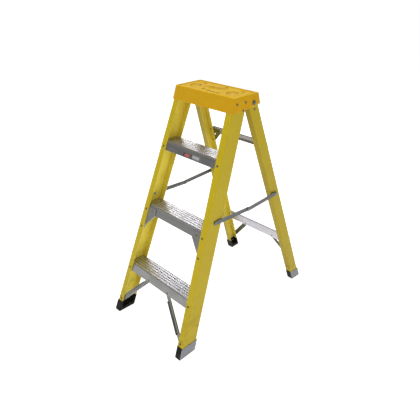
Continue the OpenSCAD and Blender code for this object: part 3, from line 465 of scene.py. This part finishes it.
# the last two numbers are painted shade for the whole rail and painted light and shade for its
# front flange
front_fibre = fibreglass("front_fibreglass", FRONT_LEAN, FRONT_SKINS, 0.97, 1.12)
rear_fibre = fibreglass("rear_fibreglass", -REAR_LEAN, REAR_SKINS, 0.91, 0.76)
dull_rivet = rivet_metal("dull_rivet", srgb(84, 76, 44), srgb(120, 110, 70), 0.42)
dark_rivet = rivet_metal("dark_rivet", srgb(96, 80, 50), srgb(134, 114, 78), 0.46)
brace_metal = pressed_sheet("brace_metal", srgb(112, 112, 109), srgb(146, 146, 142), 0.62, 0.42)
rear_sheet = pressed_sheet("rear_sheet", srgb(136, 135, 132), srgb(172, 171, 168), 0.7, 0.42)
boot_metal = pressed_sheet("boot_metal", srgb(104, 105, 108), srgb(146, 148, 152), 0.7, 0.44)
dark_zinc = plated_steel("dark_zinc", srgb(80, 82, 82), srgb(108, 110, 110), 0.42, 0.6)
bright_zinc = plated_steel("bright_zinc", srgb(128, 132, 130), srgb(168, 172, 168), 0.38, 0.8)
pin_zinc = plated_steel("pin_zinc", srgb(104, 106, 104), srgb(138, 140, 138), 0.4, 0.7)
bolt_zinc = plated_steel("bolt_zinc", srgb(96, 94, 84), srgb(130, 128, 116), 0.4, 0.7)
# the gusset's olive colour is painted shade and a painted reflection of the yellow rail on grey
# metal
gusset_shade_and_rail_reflection = plated_steel("gusset_shade_and_rail_reflection", srgb(92, 90, 26), srgb(122, 118, 42), 0.5, 0.25)
# painted shade: the strap's dark olive colour stands for the shaded edge of the rail beside it
strap_shade = plated_steel("strap_shade", srgb(58, 60, 36), srgb(82, 84, 54), 0.5, 0.3)

FINISH_OF_SLOT = {
    "cap_plastic": cap_moulding(),
    "tread_aluminium": tread_metal(),
    "brace_aluminium": brace_metal,
    "bar_silver": ridged_bar(),
    "rivet_aluminium": dull_rivet,
    "rivet_dark": dark_rivet,
    "boot_metal": boot_metal,
    "boot_rubber": foot_rubber(),
    "bush_nylon": bush_nylon(),
    "bolt_steel": bolt_zinc,
    "plate_steel": bright_zinc,
    "gusset_olive": gusset_shade_and_rail_reflection,
    "strap_dark": strap_shade,
    "spreader_steel": dark_zinc,
    "pin_steel": pin_zinc,
    "label_blank": blank_label(),
}
FINISH_OF_NODE = {
    "front_rail_left": front_fibre, "front_rail_right": front_fibre,
    "rear_rail_left": rear_fibre, "rear_rail_right": rear_fibre,
    "rear_bar_upper": rear_sheet,
    "front_foot_rivets": boot_metal, "rear_foot_rivets": boot_metal,
}

for part in frame["record"]["subparts"]:
    piece = frame["nodes"][part["node"]]
    finish = FINISH_OF_NODE.get(part["node"]) or FINISH_OF_SLOT[part["material_slot"]]
    piece.data.materials.clear()
    piece.data.materials.append(finish)


# ---------------------------------------------------------------- floor, light and camera

def lay_floor():
    bm = bmesh.new()
    bmesh.ops.create_grid(bm, x_segments=2, y_segments=2, size=FLOOR_REACH)
    mesh = bpy.data.meshes.new("floor")
    bm.to_mesh(mesh)
    bm.free()
    floor = bpy.data.objects.new("floor", mesh)
    floor.data.materials.append(studio_floor())
    bpy.context.scene.collection.objects.link(floor)


def hang_softbox(name, place, aim, size, watts):
    lamp = bpy.data.lights.new(name, "AREA")
    lamp.shape, lamp.size, lamp.energy = "SQUARE", size, watts
    box = bpy.data.objects.new(name, lamp)
    box.location = place
    box.rotation_euler = (Vector(aim) - Vector(place)).to_track_quat("-Z", "Y").to_euler()
    bpy.context.scene.collection.objects.link(box)


def light_sky(strength):
    world = bpy.data.worlds.new("studio")
    world.use_nodes = True
    background = world.node_tree.nodes["Background"]
    background.inputs["Color"].default_value = (1.0, 1.0, 1.0, 1.0)
    background.inputs["Strength"].default_value = strength
    bpy.context.scene.world = world


def stand_camera():
    lens = bpy.data.cameras.new("camera")
    lens.lens, lens.sensor_width = LENS_MM, SENSOR_MM
    lens.clip_end = 400.0
    lens.dof.use_dof = False
    camera = bpy.data.objects.new("camera", lens)
    camera.location = CAMERA_PLACE
    camera.rotation_euler = CAMERA_TURN
    bpy.context.scene.collection.objects.link(camera)
    bpy.context.scene.camera = camera


lay_floor()
light_sky(0.22)
hang_softbox("key", (-1.2, -3.2, 3.4), (0.0, 0.0, 0.55), 2.6, 44)
hang_softbox("side", (3.6, -1.0, 2.4), (0.0, 0.0, 0.55), 2.6, 30)
hang_softbox("top", (0.0, 0.3, 4.2), (0.0, 0.0, 0.5), 3.0, 32)
hang_softbox("low_strip", (2.6, -2.6, 0.7), (0.0, 0.0, 0.5), 1.2, 6)
hang_softbox("back_panel", (-2.7, 2.7, 2.1), (0.0, 0.0, 0.6), 2.0, 44)
stand_camera()
bpy.context.scene.view_settings.view_transform = "Standard"
